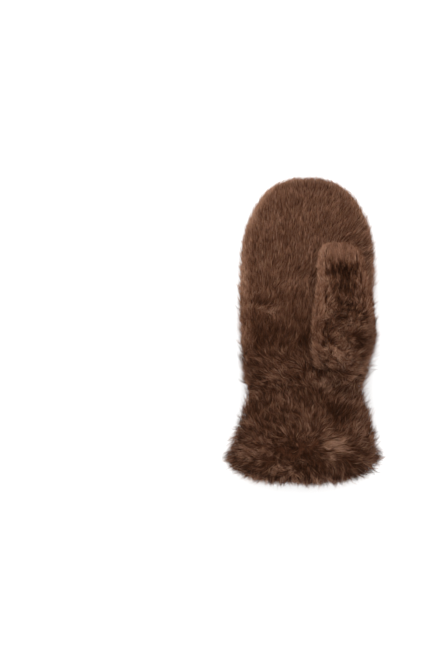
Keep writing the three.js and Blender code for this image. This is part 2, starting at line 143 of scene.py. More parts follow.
def make_hair_material():
    """Hair colour from its own map: the tone runs across, and root to tip runs up."""
    material, tree, shader = new_material("brown_hair")
    uv = node(tree, "ShaderNodeUVMap", uv_map="OFBake")
    axes = node(tree, "ShaderNodeSeparateXYZ")
    tree.links.new(uv.outputs["UV"], axes.inputs[0])
    rows = math_node(tree, "MULTIPLY", axes.outputs["Y"], float(HAIR_KINDS))
    along = math_node(tree, "FRACT", rows)
    kind = math_node(tree, "DIVIDE", math_node(tree, "FLOOR", rows), HAIR_KINDS - 1.0)
    tone = ramp(
        tree,
        axes.outputs["X"],
        [
            (0.0, tint(27, 9, 2)),
            (0.25, tint(71, 41, 25)),
            (0.5, tint(107, 72, 54)),
            (0.75, tint(150, 110, 90)),
            (1.0, tint(196, 158, 134)),
        ],
    )
    # Darker towards the root: partly the fur's own darker base, partly painted shade deep in the
    # pile; lighter at the tip.
    shade = ramp(
        tree,
        along,
        [
            (0.0, (0.16, 0.13, 0.11)),
            (0.35, (0.48, 0.45, 0.43)),
            (0.7, (0.92, 0.92, 0.92)),
            (1.0, (1.25, 1.25, 1.25)),
        ],
    )
    cast = ramp(
        tree,
        kind,
        [
            (0.0, (1.0, 0.97, 0.94)),
            (0.34, (1.06, 0.96, 0.88)),
            (0.67, (0.98, 0.98, 0.98)),
            (1.0, (1.05, 1.0, 0.86)),
        ],
    )
    colour = multiply(tree, multiply(tree, tone, shade), cast)
    tree.links.new(colour, shader.inputs["Base Color"])
    shader.inputs["Roughness"].default_value = 0.6
    shader.inputs["Specular IOR Level"].default_value = 0.1
    shader.inputs["Specular Tint"].default_value = (0.9, 0.7, 0.55, 1.0)
    return material


def make_underfur_material():
    """The dense underfur between the hairs: dark, in fine streaks along the nap."""
    material, tree, shader = new_material("underfur")
    place = node(tree, "ShaderNodeTexCoord")
    stretch = node(tree, "ShaderNodeMapping")
    stretch.inputs["Scale"].default_value = (1.0, 0.28, 1.0)
    tree.links.new(place.outputs["Object"], stretch.inputs["Vector"])
    streaks = node(tree, "ShaderNodeTexNoise", Scale=900.0, Detail=4.0, Roughness=0.65)
    tree.links.new(stretch.outputs["Vector"], streaks.inputs["Vector"])
    patches = node(tree, "ShaderNodeTexNoise", Scale=60.0, Detail=3.0, Roughness=0.55)
    tree.links.new(place.outputs["Object"], patches.inputs["Vector"])
    mixed = math_node(
        tree,
        "ADD",
        math_node(tree, "MULTIPLY", streaks.outputs["Fac"], 0.65),
        math_node(tree, "MULTIPLY", patches.outputs["Fac"], 0.35),
    )
    colour = ramp(
        tree,
        mixed,
        [
            (0.3, tint(34, 15, 6)),
            (0.5, tint(59, 33, 20)),
            (0.72, tint(88, 57, 42)),
        ],
    )
    tree.links.new(colour, shader.inputs["Base Color"])
    bump = node(tree, "ShaderNodeBump", Strength=0.8, Distance=0.0006)
    tree.links.new(streaks.outputs["Fac"], bump.inputs["Height"])
    tree.links.new(bump.outputs["Normal"], shader.inputs["Normal"])
    shader.inputs["Roughness"].default_value = 0.95
    shader.inputs["Specular IOR Level"].default_value = 0.05
    return material


def make_backing_material():
    """The plain knitted back of the fur fabric, seen only inside."""
    material, tree, shader = new_material("knitted_backing")
    place = node(tree, "ShaderNodeTexCoord")
    wales = node(tree, "ShaderNodeTexWave", Scale=260.0, Distortion=1.2, Detail=1.0)
    wales.bands_direction = "X"
    tree.links.new(place.outputs["Object"], wales.inputs["Vector"])
    courses = node(tree, "ShaderNodeTexWave", Scale=200.0, Distortion=1.0, Detail=1.0)
    courses.bands_direction = "Y"
    tree.links.new(place.outputs["Object"], courses.inputs["Vector"])
    knit = math_node(tree, "MULTIPLY", wales.outputs["Fac"], courses.outputs["Fac"])
    colour = ramp(tree, knit, [(0.0, tint(50, 32, 24)), (0.8, tint(84, 60, 47))])
    tree.links.new(colour, shader.inputs["Base Color"])
    bump = node(tree, "ShaderNodeBump", Strength=0.6, Distance=0.0004)
    tree.links.new(knit, bump.inputs["Height"])
    tree.links.new(bump.outputs["Normal"], shader.inputs["Normal"])
    shader.inputs["Roughness"].default_value = 0.9
    return material


HAIR = make_hair_material()
UNDERFUR = make_underfur_material()
BACKING = make_backing_material()


# Sizes of the mitten in mm, over its fur

WRIST_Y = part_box("palm_panel")[0][1] / MM
HAND_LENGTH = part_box("palm_panel")[1][1] / MM - WRIST_Y
CUFF_LENGTH = 66
HEM_BOW = 16
HEM_CORNER = 4
HAND_WIDTH = 123
WRIST_WIDTH = 106
CUFF_WIDTH = 135
HAND_THICKNESS = 46
WRIST_THICKNESS = 37
CUFF_THICKNESS = 54
WRIST_HEIGHT = 19
FLATTENED = 6.5
TIP_LENGTH = 76
NOSE_LENGTH = 44
BACKING_WALL = 2.5
PILE = 9
WRIST_PILE = 6.5
THUMB_PILE = 5.5
SIDE_SEAM_INSET = 9
THUMB_SEAM_INSET = 7
THUMB_WIDTH = 54
THUMB_TIP_WIDTH = 39
THUMB_THICKNESS = 29
THUMB_REACH = 73
THUMB_TIP_LENGTH = 17
THUMB_BASE_WIDTH = 41
THUMB_TUCK = 0.3
THUMB_BASE_SHIFT = 4
THUMB_BASE_LENGTH = 44
THUMB_CROTCH = 56
THUMB_OFFSET = 33
THUMB_SINK = 5
CROTCH_RADIUS = 1.2
BODY_ROUNDNESS = 0.76
THUMB_ROUNDNESS = 0.86
TIP_FULLNESS = 2.4
THUMB_FULLNESS = 3.8

# Sections: along, wide, thick, drift. Shares, as the fur panels are cut.
HAND_SECTIONS = [
    (0.0, 0.0, 0.0, 0.016),
    (0.05, 0.31, 0.34, 0.008),
    (0.1, 0.55, 0.62, 0.018),
    (0.16, 0.82, 0.84, 0.022),
    (0.24, 0.97, 0.97, 0.025),
    (0.44, 0.96, 1.0, 0.016),
    (0.6, 0.97, 0.98, 0.026),
    (1.0, 1.0, 0.86, 0.032),
]
CUFF_SECTIONS = [
    (0.0, 0.0, 0.0, 0.013),
    (0.12, 0.12, 0.22, 0.017),
    (0.29, 0.38, 0.5, 0.017),
    (0.44, 0.56, 0.72, 0.014),
    (0.61, 0.8, 0.88, 0.01),
    (0.76, 0.93, 0.97, 0.004),
    (1.0, 1.0, 1.0, -0.004),
]
THUMB_SECTIONS = [
    (0.0, 1.0, 1.0, 0.03),
    (0.29, 0.82, 0.98, 0.03),
    (0.5, 0.5, 0.94, 0.02),
    (0.76, 0.14, 0.88, -0.01),
    (1.0, 0.0, 0.84, -0.05),
]
WIDE, THICK, DRIFT = 1, 2, 3


def section(table, along, column):
    """Reads a table of sections, smoothly between its rows."""
    rows = np.array(table)
    after = np.clip(np.searchsorted(rows[:, 0], along), 1, len(rows) - 1)
    a, b = rows[after - 1], rows[after]
    share = np.clip((along - a[..., 0]) / (b[..., 0] - a[..., 0]), 0, 1)
    eased = (share + share * share * (3 - 2 * share)) / 2
    return a[..., column] + eased * (b[..., column] - a[..., column])


def lerp(a, b, share):
    return a + (b - a) * share


def smoothstep(low, high, value):
    share = np.clip((value - low) / (high - low), 0, 1)
    return share * share * (3 - 2 * share)


def rounded_section(angle, roundness):
    across, up = np.cos(angle), np.sin(angle)
    return np.sign(across) * np.abs(across) ** roundness, np.sign(up) * np.abs(up) ** roundness


def rounded_end(distance, length, fullness=TIP_FULLNESS):
    """How much of its size a rounded end still has, and how steeply it faces the end."""
    share = np.clip(1 - distance / length, 0, 1)
    left = np.maximum(0, 1 - share * share) ** (1 / fullness)
    slope = share**fullness
    return left, slope / np.hypot(slope, np.maximum(left, 1e-6))


def facing_at(outline_facing, side_facing, across, up):
    """How steeply a place on a section faces the end, between its outline and its side view."""
    return lerp(side_facing, outline_facing, across * across / (across * across + up * up))


def flat_share(facing):
    return np.sqrt(np.maximum(0, 1 - facing * facing))


def hand_point(station, angle, depth):
    """Station 0 is the fingertip and 1 the wrist. Depth 0 is inside, and 1 the pile's tips."""
    along = 1 - station
    wide = section(HAND_SECTIONS, along, WIDE)
    thick = section(HAND_SECTIONS, along, THICK)
    outline, outline_facing = rounded_end(station * HAND_LENGTH, TIP_LENGTH)
    side, side_facing = rounded_end(station * HAND_LENGTH, NOSE_LENGTH)
    half_width = lerp(WRIST_WIDTH, HAND_WIDTH, wide) / 2 * outline
    half_thick = lerp(WRIST_THICKNESS, HAND_THICKNESS, thick) / 2 * side
    height = lerp(WRIST_HEIGHT, HAND_THICKNESS / 2 - FLATTENED, thick)
    wall = BACKING_WALL + lerp(WRIST_PILE, PILE, wide)
    across, up = rounded_section(angle, BODY_ROUNDNESS)
    inward = (1 - depth) * wall
    facing = facing_at(outline_facing, side_facing, across, up)
    x = across * np.maximum(half_width - inward * flat_share(outline_facing), 0)
    z = up * np.maximum(half_thick - inward * flat_share(side_facing), 0)
    drift = section(HAND_SECTIONS, along, DRIFT) * HAND_WIDTH
    return np.stack([drift + x, along * HAND_LENGTH - inward * facing, height + z], -1)


def cuff_point(station, angle, depth):
    """Station 0 is the wrist and 1 the hem."""
    wide = section(CUFF_SECTIONS, station, WIDE)
    thick = section(CUFF_SECTIONS, station, THICK)
    half_width = lerp(WRIST_WIDTH, CUFF_WIDTH, wide) / 2
    half_thick = lerp(WRIST_THICKNESS, CUFF_THICKNESS, thick) / 2
    height = lerp(WRIST_HEIGHT, CUFF_THICKNESS / 2 - FLATTENED, thick)
    wall = BACKING_WALL + lerp(WRIST_PILE, PILE, wide)
    across, up = rounded_section(angle, BODY_ROUNDNESS)
    inward = (1 - depth) * wall
    bow = HEM_BOW * station * (1 - np.abs(across) ** HEM_CORNER)
    drift = section(CUFF_SECTIONS, station, DRIFT) * CUFF_WIDTH
    return np.stack(
        [
            drift + across * (half_width - inward),
            -station * CUFF_LENGTH - bow,
            height + up * (half_thick - inward),
        ],
        -1,
    )


PALM_EDGE = 0.985  # share of the half width past which the palm's height stays the same


def palm_surface(x, y, depth):
    """Height of the palm at a place, at a depth of its pile."""
    station = 1 - y / HAND_LENGTH
    side = hand_point(station, np.zeros_like(station), depth)
    top = hand_point(station, np.full_like(station, math.pi / 2), depth)
    across = np.clip(np.abs((x - top[..., 0]) / (side[..., 0] - top[..., 0])), 0, PALM_EDGE)
    up = (1 - across ** (2 / BODY_ROUNDNESS)) ** (BODY_ROUNDNESS / 2)
    return side[..., 2] + up * (top[..., 2] - side[..., 2])


CROTCH_STATION = np.array(1 - THUMB_CROTCH / HAND_LENGTH)
QUARTER = np.array(math.pi / 2)
CROTCH_HEIGHT = hand_point(CROTCH_STATION, QUARTER, 1.0)[2] - THUMB_SINK
NECK_LENGTH = CROTCH_HEIGHT - hand_point(CROTCH_STATION, QUARTER, 0.0)[2]
FAN_LENGTH = math.pi / 4 * THUMB_BASE_LENGTH
THUMB_PATH = THUMB_REACH + FAN_LENGTH + NECK_LENGTH
THUMB_WALL = BACKING_WALL + THUMB_PILE


def thumb_point(station, angle, depth):
    """Station 0 is the thumb's tip and 1 the end of its neck inside the palm."""
    travelled = station * THUMB_PATH
    along = np.clip(1 - travelled / THUMB_REACH, 0, 1)
    turned = np.clip((travelled - THUMB_REACH) / FAN_LENGTH, 0, 1)
    sunk = np.maximum(0, travelled - THUMB_REACH - FAN_LENGTH) / NECK_LENGTH
    outline, outline_facing = rounded_end(travelled, THUMB_TIP_LENGTH, THUMB_FULLNESS)
    side, side_facing = rounded_end(travelled, THUMB_TIP_LENGTH)
    full_width = lerp(THUMB_TIP_WIDTH, THUMB_WIDTH, section(THUMB_SECTIONS, along, WIDE))
    tucked = smoothstep(THUMB_TUCK, 1, turned)
    half_width = lerp(full_width, THUMB_BASE_WIDTH, tucked) / 2 * outline
    straight = THUMB_THICKNESS * section(THUMB_SECTIONS, along, THICK)
    thickness = lerp(straight, THUMB_BASE_LENGTH, smoothstep(0, 1, turned))
    inward = (1 - depth) * THUMB_WALL
    across, up = rounded_section(angle, THUMB_ROUNDNESS)
    facing = facing_at(outline_facing, side_facing, across, up)
    out = up * np.maximum(thickness / 2 * side - inward * flat_share(side_facing), 0)
    out = out + thickness / 2 + CROTCH_RADIUS
    turn = (1 - turned) * math.pi / 2
    drift = section(THUMB_SECTIONS, along, DRIFT) * THUMB_WIDTH
    x = THUMB_OFFSET + drift - tucked * THUMB_BASE_SHIFT
    x = x + across * np.maximum(half_width - inward * flat_share(outline_facing), 0)
    y = THUMB_CROTCH + along * THUMB_REACH - inward * facing - out * np.cos(turn)
    z = CROTCH_HEIGHT + out * np.sin(turn)
    z = z + sunk * (palm_surface(x, y, 0.0) - CROTCH_HEIGHT)
    return np.stack([x, y, z], -1)


def seam_angle(inset, half_width, roundness):
    return math.acos((1 - inset / half_width) ** (1 / roundness))


SIDE_SEAM = math.pi - seam_angle(SIDE_SEAM_INSET, HAND_WIDTH / 2, BODY_ROUNDNESS)
THUMB_SEAM = seam_angle(THUMB_SEAM_INSET, THUMB_WIDTH / 2, THUMB_ROUNDNESS)

# How deep in the pile the cloth under the hairs lies: rows of (station, depth)
HAND_CLOTH = [(0, 0.8), (0.45, 0.78), (0.8, 0.68), (1, 0.6)]
THUMB_BACK_CLOTH = [(0, 0.72), (1, 0.68)]
THUMB_FRONT_CLOTH = [(0, 0.62), (0.12, 0.52), (0.4, 0.6), (1, 0.55)]

# The cuff's cloth runs from the wrist to the hem, turns in and runs back up inside.
CUFF_ROUTE = [
    # share of the route, station, depth
    (0.0, 0.0, 0.6),
    (0.12, 0.25, 0.64),
    (0.38, 0.82, 0.66),
    (0.405, 0.885, 0.62),
    (0.425, 0.915, 0.44),
    (0.44, 0.922, 0.16),
    (0.455, 0.915, -0.12),
    (0.475, 0.885, -0.3),
    (0.5, 0.835, -0.34),
    (0.58, 0.76, -0.3),
    (0.61, 0.72, 0.0),
    (1.0, 0.0, 0.0),
]
CUFF_PILE_END = 0.59  # share of the route up to which the cuff's cloth carries pile
TIP_CROWDING = 1.8  # rows of a cloth lie closer together towards a rounded end
ABOVE_FLOOR = 0.4
CUFF_SEAM_GAP = 0.3

# How much deeper a cloth lies at the two sides
SIDE_DEPTH = {"little_finger": 0.3, "thumb": 0.24}
CUFF_SIDE_DEPTH = {"little_finger": 0.34, "thumb": 0.24}


def cloth_depth(rows, station):
    return np.interp(station, [row[0] for row in rows], [row[1] for row in rows])


def side_depth(angle, sides):
    """How much deeper in the pile a cloth lies towards the outline, where the hairs stand out."""
    across = np.cos(angle)
    deeper = np.where(across < 0, sides["little_finger"], sides["thumb"])
    return deeper * smoothstep(0.4, 0.95, np.abs(across))


def placed(points):
    """Sizes in mm from the wrist seam as places in the frame, all above the floor."""
    lowest = np.array([-np.inf, -np.inf, ABOVE_FLOOR])
    return np.maximum(points + np.array([0, WRIST_Y, 0]), lowest) * MM


def hand_sheet(first, last):
    def place(across, along):
        station = along**TIP_CROWDING
        angle = lerp(first, last, across)
        deeper = side_depth(angle, SIDE_DEPTH) * smoothstep(0, 0.2, station)
        return placed(hand_point(station, angle, cloth_depth(HAND_CLOTH, station) - deeper))

    return place


def thumb_sheet(first, last, cloth):
    def place(across, along):
        station = along**TIP_CROWDING
        return placed(thumb_point(station, lerp(first, last, across), cloth_depth(cloth, station)))

    return place


def cuff_sheet(across, along):
    route = np.array(CUFF_ROUTE)
    station = np.interp(along, route[:, 0], route[:, 1])
    depth = np.interp(along, route[:, 0], route[:, 2])
    angle = 2 * math.pi * across
    outside = smoothstep(0.42, 0.34, along)
    depth = depth - outside * side_depth(angle, CUFF_SIDE_DEPTH)
    return placed(cuff_point(station, angle, depth) - np.array([0, CUFF_SEAM_GAP, 0]))


SEAM_SLIT = 0.004  # half a seam's gap, as an angle
THUMB_SLIT = 2 * SEAM_SLIT
SHEETS = {
    "back_panel": hand_sheet(SIDE_SEAM + SEAM_SLIT, 2 * math.pi - SEAM_SLIT),
    "palm_panel": hand_sheet(SEAM_SLIT, SIDE_SEAM - SEAM_SLIT),
    "thumb_back": thumb_sheet(
        math.pi - THUMB_SEAM + THUMB_SLIT,
        2 * math.pi + THUMB_SEAM - THUMB_SLIT,
        THUMB_BACK_CLOTH,
    ),
    "thumb_front": thumb_sheet(
        THUMB_SEAM + THUMB_SLIT, math.pi - THUMB_SEAM - THUMB_SLIT, THUMB_FRONT_CLOTH
    ),
    "cuff": cuff_sheet,
}
SLOTS = {
    "back_panel": "back_fur",
    "palm_panel": "palm_fur",
    "thumb_back": "thumb_under_fur",
    "thumb_front": "thumb_top_fur",
    "cuff": "cuff_fur",
}


# Cloth under the hairs

MERGE_DISTANCE = 0.02 * MM
PLUG_STATIONS = (0.62, 1.35)  # stations of the thumb's neck that cut the palm's hole
PLUG_DEPTH = 1.04
PLUG_GRID = (64, 24)
CLOTH_GRIDS = {
    # columns, rows and wall in mm
    "back_panel": (90, 76, 4.6),
    "palm_panel": (78, 76, 4.6),
    "thumb_back": (52, 60, 3.0),
    "thumb_front": (34, 60, 2.4),
}
CUFF_COLUMNS = 120
CUFF_ROWS = 100


def lay_grid(name, sheet, columns, rows):
    """A flat grid laid over a sheet's shape, its edges merged where they meet."""
    bpy.ops.object.select_all(action="DESELECT")
    bpy.ops.mesh.primitive_grid_add(x_subdivisions=columns, y_subdivisions=rows, size=1)
    cloth = bpy.context.active_object
    cloth.name = name
    flat = np.empty(len(cloth.data.vertices) * 3)
    cloth.data.vertices.foreach_get("co", flat)
    flat = flat.reshape(-1, 3)
    across, along = (np.clip(flat[:, axis] + 0.5, 0, 1) for axis in (0, 1))
    cloth.data.vertices.foreach_set("co", sheet(across, along).reshape(-1))
    cloth.data.update()
    bpy.ops.object.mode_set(mode="EDIT")
    bpy.ops.mesh.select_all(action="SELECT")
    bpy.ops.mesh.remove_doubles(threshold=MERGE_DISTANCE)
    bpy.ops.object.mode_set(mode="OBJECT")
    bpy.ops.object.shade_smooth()
    return cloth


def finish_cloth(cloth):
    cloth.data.materials.clear()
    cloth.data.materials.append(UNDERFUR)
    cloth.data.materials.append(BACKING)


def add_wall(cloth, wall):
    """Gives a cloth its wall, inwards, with the knitted backing as its inner face."""
    only(cloth)
    solidify = cloth.modifiers.new("wall", "SOLIDIFY")
    solidify.thickness = wall * MM
    solidify.offset = -1
    solidify.use_even_offset = True
    solidify.material_offset = 1
    bpy.ops.object.modifier_apply(modifier="wall")


def open_for_thumb(cloth):
    """Cuts the thumb's hole in the palm."""

    def plug_shape(across, along):
        station = lerp(*PLUG_STATIONS, along)
        return placed(thumb_point(station, 2 * math.pi * across, PLUG_DEPTH))

    plug = lay_grid("thumb_plug", plug_shape, *PLUG_GRID)
    bpy.ops.object.mode_set(mode="EDIT")
    bpy.ops.mesh.select_all(action="DESELECT")
    bpy.ops.mesh.select_non_manifold()
    bpy.ops.mesh.fill_holes(sides=0)
    bpy.ops.mesh.select_all(action="SELECT")
    bpy.ops.mesh.normals_make_consistent(inside=False)
    bpy.ops.object.mode_set(mode="OBJECT")
    only(cloth)
    cut = cloth.modifiers.new("hole", "BOOLEAN")
    cut.operation = "DIFFERENCE"
    cut.object = plug
    bpy.ops.object.modifier_apply(modifier="hole")
    bpy.data.objects.remove(plug)


cloths = {}
for panel, (columns, rows, wall) in CLOTH_GRIDS.items():
    cloth = lay_grid(panel + "_underfur", SHEETS[panel], columns, rows)
    finish_cloth(cloth)
    add_wall(cloth, wall)
    cloths[panel] = cloth
open_for_thumb(cloths["palm_panel"])

cloths["cuff"] = lay_grid("cuff_underfur", cuff_sheet, CUFF_COLUMNS, CUFF_ROWS)
finish_cloth(cloths["cuff"])
for face in cloths["cuff"].data.polygons:
    face.material_index = int(face.index // CUFF_COLUMNS >= CUFF_ROWS * CUFF_PILE_END)


# Pile

# Where the pile is combed to. x and y in mm, reach in mm, and heading in degrees: 0 to the thumb
# side, 90 to the fingertips, 180 to the little finger's side and -90 to the hem.
COMBED = [
    (-40, 105, 20, 96),
    (0, 118, 20, 90),
    (38, 108, 18, 62),
    (-45, 60, 20, 94),
    (0, 70, 22, 80),
    (50, 70, 14, 42),
    (60, 40, 10, 35),
    (-48, 10, 18, 100),
    (-10, 20, 20, 78),
    (10, 40, 14, 68),
    (-45, -20, 12, 120),
    (-20, -12, 14, 84),
    (-38, -38, 10, 165),
    (-12, -40, 10, 185),
    (8, -22, 10, 100),
    (50, -40, 12, 12),
    (60, -30, 8, 5),
    (-30, -52, 8, 188),
    (-2, -52, 8, 172),
    (14, -50, 7, 95),
    (28, -50, 8, 20),
    (50, -55, 9, 40),
    (-40, -70, 11, 100),
    (-10, -70, 12, 82),
    (20, -68, 12, 74),
    (48, -72, 12, 52),
    (-55, -98, 12, 178),
    (-30, -96, 11, 130),
    (4, -90, 10, 84),
    (22, -92, 6, 40),
    (20, -98, 6, -4),
    (29, -103, 7, -22),
    (50, -94, 11, 36),
    (62, -112, 9, 12),
    (38, -109, 8, -32),
    (-12, -106, 7, 172),
    (7, -107, 7, -68),
    (-52, -116, 10, 200),
    (-27, -112, 9, 195),
    (-20, -130, 10, -98),
    (12, -130, 11, -88),
    (42, -128, 10, -65),
    (-50, -128, 8, -125),
    (62, -124, 8, -35),
]
THUMB_COMBED = [
    (30, 72, 12, 90),
    (13, 38, 10, 82),
    (57, 38, 10, 84),
    (26, 28, 10, 88),
    (40, 30, 10, 94),
    (36, 8, 8, 70),
    (52, 4, 8, 30),
    (14, -8, 9, 88),
    (28, -12, 9, 60),
    (54, -14, 9, 8),
    (20, -30, 9, 50),
    (40, -26, 9, 20),
    (56, -28, 8, 2),
    (30, -42, 9, 0),
    (46, -42, 9, -24),
    (57, -42, 8, -28),
]

# Pale tufts, and painted shade in hollows, valleys and partings, here and on the thumb: x, y,
# reach across and along in mm, and how much lighter. Some pale spots round the thumb's root are
# painted light that offsets shade there.
TUFTS_AND_SHADE = [
    (22, -99, 6.5, 4, 0.75),
    (30, -104, 7, 3, 0.3),
    (9, -90, 2.5, 16, -0.12),
    (50, -90, 14, 15, 0.13),
    (-34, -109, 9, 6, 0.3),
    (17, -130, 8, 5, 0.14),
    (-34, 19, 9, 1.2, 0.42),
    (-34, 23, 9, 2, -0.14),
    (-9, -107, 7, 7, -0.34),
    (8, -115, 7, 5, -0.3),
    (53, -121, 8, 4, -0.34),
    (28, -74, 8, 5, -0.26),
    (-30, -8, 10, 10, -0.12),
    (10, -34, 5, 4, -0.35),
    (2, -14, 4, 5, -0.26),
    (-1, -29, 5, 5, 0.14),
    (38, -49, 16, 6, 0.14),
    (56, -44, 8, 8, 0.16),
]
THUMB_TUFTS_AND_SHADE = [
    (36, 50, 10, 5, -0.36),
    (33, 38, 5, 10, -0.2),
    (22, 34, 4, 12, 0.06),
    (36, 17, 8, 5, -0.2),
    (49, 13, 4, 6, -0.3),
    (28, 0, 9, 5, 0.14),
    (46, -10, 6, 6, -0.28),
    (27, -24, 12, 7, 0.06),
    (12, -22, 2.5, 11, 0.16),
    (48, -32, 7, 5, 0.1),
]

# Where hairs lie across the nap: x, y, reach across and along in mm, and the turn in radians.
PARTED = [(-34, 19, 8, 1.4, -1.8)]

# Where the hairs of the cuff are tangled: x, y, reach across and along in mm, and how much.
TANGLED = [(-2, -107, 18, 9, 0.9)]

# Where the hairs of a tuft lie side by side, without curls: the same columns.
SLEEK = [(24, -101, 12, 9, 0.9)]

# Tufts that stand out of the outline: x, y, one or two reaches in mm, and how much longer the
# hairs are, as a share.
EDGE_TUFTS = [
    (-59, 64, 2.2, 0.9),
    (-60, 31, 2.2, 0.9),
    (-59, -16, 2.6, 1.0),
    (-68, -112, 3, 0.6),
    (66, -84, 3, 0.4),
    (-54, -124, 9, 0.45),
    (58, -122, 10, 0.45),
    (5, -128, 50, 6, 0.18),
    (58, -40, 6, 6, 0.6),
]

WAVE_LENGTHS = (0.8, 2.2)  # of a field's waves, as shares of its size


def waves(seed, size, count=10):
    """A smooth field from about -1 to 1 whose bumps are as large as size, in metres."""
    dice = np.random.default_rng(seed)
    ways = dice.normal(size=(count, 3))
    ways /= np.linalg.norm(ways, axis=1, keepdims=True)
    ways *= 2 * math.pi / (size * dice.uniform(*WAVE_LENGTHS, (count, 1)))
    shift = dice.uniform(0, 2 * math.pi, count)
    return lambda points: np.sin(points @ ways.T + shift).sum(1) / math.sqrt(count / 2)


def mix(*fields):
    """Smooth fields added up, each with its strength."""
    return lambda points: sum(strength * field(points) for strength, field in fields)


MIDDLE = waves(2, 13 * MM)
FINE = waves(3, 6 * MM)
PATCHES = mix((0.5, waves(1, 34 * MM)), (0.6, MIDDLE), (0.35, FINE))
TURNS = mix((0.24, waves(4, 26 * MM)), (0.2, waves(5, 9 * MM)))
CURL = waves(6, 12 * MM)
STREAKY = waves(7, 6 * MM)
FRINGE = waves(8, 3.5 * MM, 14)
SWIRL = waves(9, 5 * MM, 14)
STRANDS = waves(10, 2.4 * MM, 24)
ALONG_NAP = np.array([1.0, 0.35, 1.0])  # draws a field out along the mitten


def unit(vectors):
    return vectors / (np.linalg.norm(vectors, axis=1, keepdims=True) + 1e-12)


def bumps(points, rows):
    """The sum of a table's soft spots at each point: x, y, one or two reaches, and a value."""
    total = np.zeros(len(points))
    for x, y, *reach, value in rows:
        across = (points[:, 0] - x * MM) / (reach[0] * MM)
        along = (points[:, 1] - y * MM) / (reach[-1] * MM)
        total += value * np.exp(-0.5 * (across**2 + along**2))
    return total


def by_y(*rows):
    """A look that changes along the mitten: rows of (y in mm, value)."""
    places = [row[0] * MM for row in rows]
    values = [row[1] for row in rows]
    return lambda points, normals: np.interp(points[:, 1], places, values)


def from_x(points, start, end):
    """Goes from 0 at the first place to 1 at the second, in mm across the mitten."""
    return smoothstep(start * MM, end * MM, points[:, 0])


def from_y(points, start, end):
    """Goes from 0 at the first place to 1 at the second, in mm along the mitten."""
    return smoothstep(start * MM, end * MM, points[:, 1])


def facing_up(normals, start, end):
    """Goes from 0 to 1 between two values of how far the surface faces up, from -1 to 1."""
    return smoothstep(start, end, normals[:, 2])


def edge(normals):
    """1 where the surface faces sideways, at the outline seen from above."""
    return smoothstep(0.85, 0.2, np.abs(normals[:, 2]))


# Underneath, the nap runs up over the wrist's seam and parts below it: from and to, in mm from it.
UNDER_PARTING = (-34, -12)
UNDER_SWAY = 0.5
UNDER_SWAY_LENGTH = 7


def combed_way(points, normals, table):
    """The way the pile is combed, before it is laid on the surface."""
    way = np.zeros((len(points), 3))
    for x, y, reach, heading in table:
        apart = (points[:, :2] - np.array([x, y]) * MM) / (reach * MM)
        weight = np.exp(-0.5 * (apart**2).sum(1)) + 1e-9
        way[:, 0] += weight * math.cos(math.radians(heading))
        way[:, 1] += weight * math.sin(math.radians(heading))
    parted = from_y(points, *(WRIST_Y + place for place in UNDER_PARTING))
    sway = np.sin(points[:, 0] / (UNDER_SWAY_LENGTH * MM))
    under_way = np.zeros((len(points), 3))
    under_way[:, 0] = UNDER_SWAY * np.sin(math.pi * parted) * sway
    under_way[:, 1] = lerp(-1, 1, parted)
    upward = facing_up(normals, -0.7, -0.1)[:, None]
    return unit(under_way * (1 - upward) + unit(way) * upward)


ROOT_GRID = 201  # points each way of the grid that the roots are spread over


def sample_roots(sheet, count, share_of):
    """Roots of hairs, evenly over a sheet. share_of says how many of them a place takes."""
    shares = np.linspace(0, 1, ROOT_GRID)
    across, along = np.meshgrid(shares, shares)
    grid = sheet(across, along)
    a, b, c, d = grid[:-1, :-1], grid[:-1, 1:], grid[1:, 1:], grid[1:, :-1]
    outwards = np.cross(b - a + c - d, d - a + c - b) / 4
    area = np.linalg.norm(outwards, axis=-1)
    normals = outwards / (area[..., None] + 1e-15)
    middle = (a + b + c + d) / 4
    half = 0.5 * (shares[0] + shares[1])
    weight = area * share_of(middle, normals, along[:-1, :-1] + half)
    chosen = DICE.choice(weight.size, count, p=(weight / weight.sum()).reshape(-1))
    u, v = DICE.random((2, count, 1))
    a, b, c, d = (corner.reshape(-1, 3)[chosen] for corner in (a, b, c, d))
    root = a * (1 - u) * (1 - v) + b * u * (1 - v) + c * u * v + d * (1 - u) * v
    return root, normals.reshape(-1, 3)[chosen]


HAIRS_PER_STREAK = 2
HAIRS_PER_CLUMP = 24
FEWEST_CLUMPS = 8


def clumps(points, hairs_each):
    """Gathers hairs in clumps: for each hair, the one in the middle of its clump."""
    count = max(FEWEST_CLUMPS, len(points) // hairs_each)
    seeds = DICE.choice(len(points), count, replace=False)
    tree = kdtree.KDTree(count)
    for i, seed in enumerate(seeds):
        tree.insert(points[seed], i)
    tree.balance()
    return seeds[np.array([tree.find(point)[1] for point in points])]


def shared(owner, spread=1):
    """A random amount for each hair, the same for all the hairs of one clump."""
    return DICE.normal(0, spread, len(owner))[owner]


# A hair's points are its foot, three round its knee, and its tip.
HAIR_FACES = np.array([(0, 2, 1), (0, 3, 2), (0, 1, 3), (4, 1, 2), (4, 2, 3), (4, 3, 1)])
HAIR_HEIGHTS = (0.03, 0.5, 0.5, 0.5, 0.97)  # of its points, in its strip of the hair map
TONE_FROM = 0.02  # where the tones begin across the hair map, and the room that they take up
TONE_ROOM = 0.96
FACE_WIDTH = 0.0016  # half the width of a hair's face on the hair map
LOWER_ASIDE = (0, 1, -1)  # the side that the corners of its lower and its upper faces lie on
UPPER_ASIDE = (0, -1, 1)


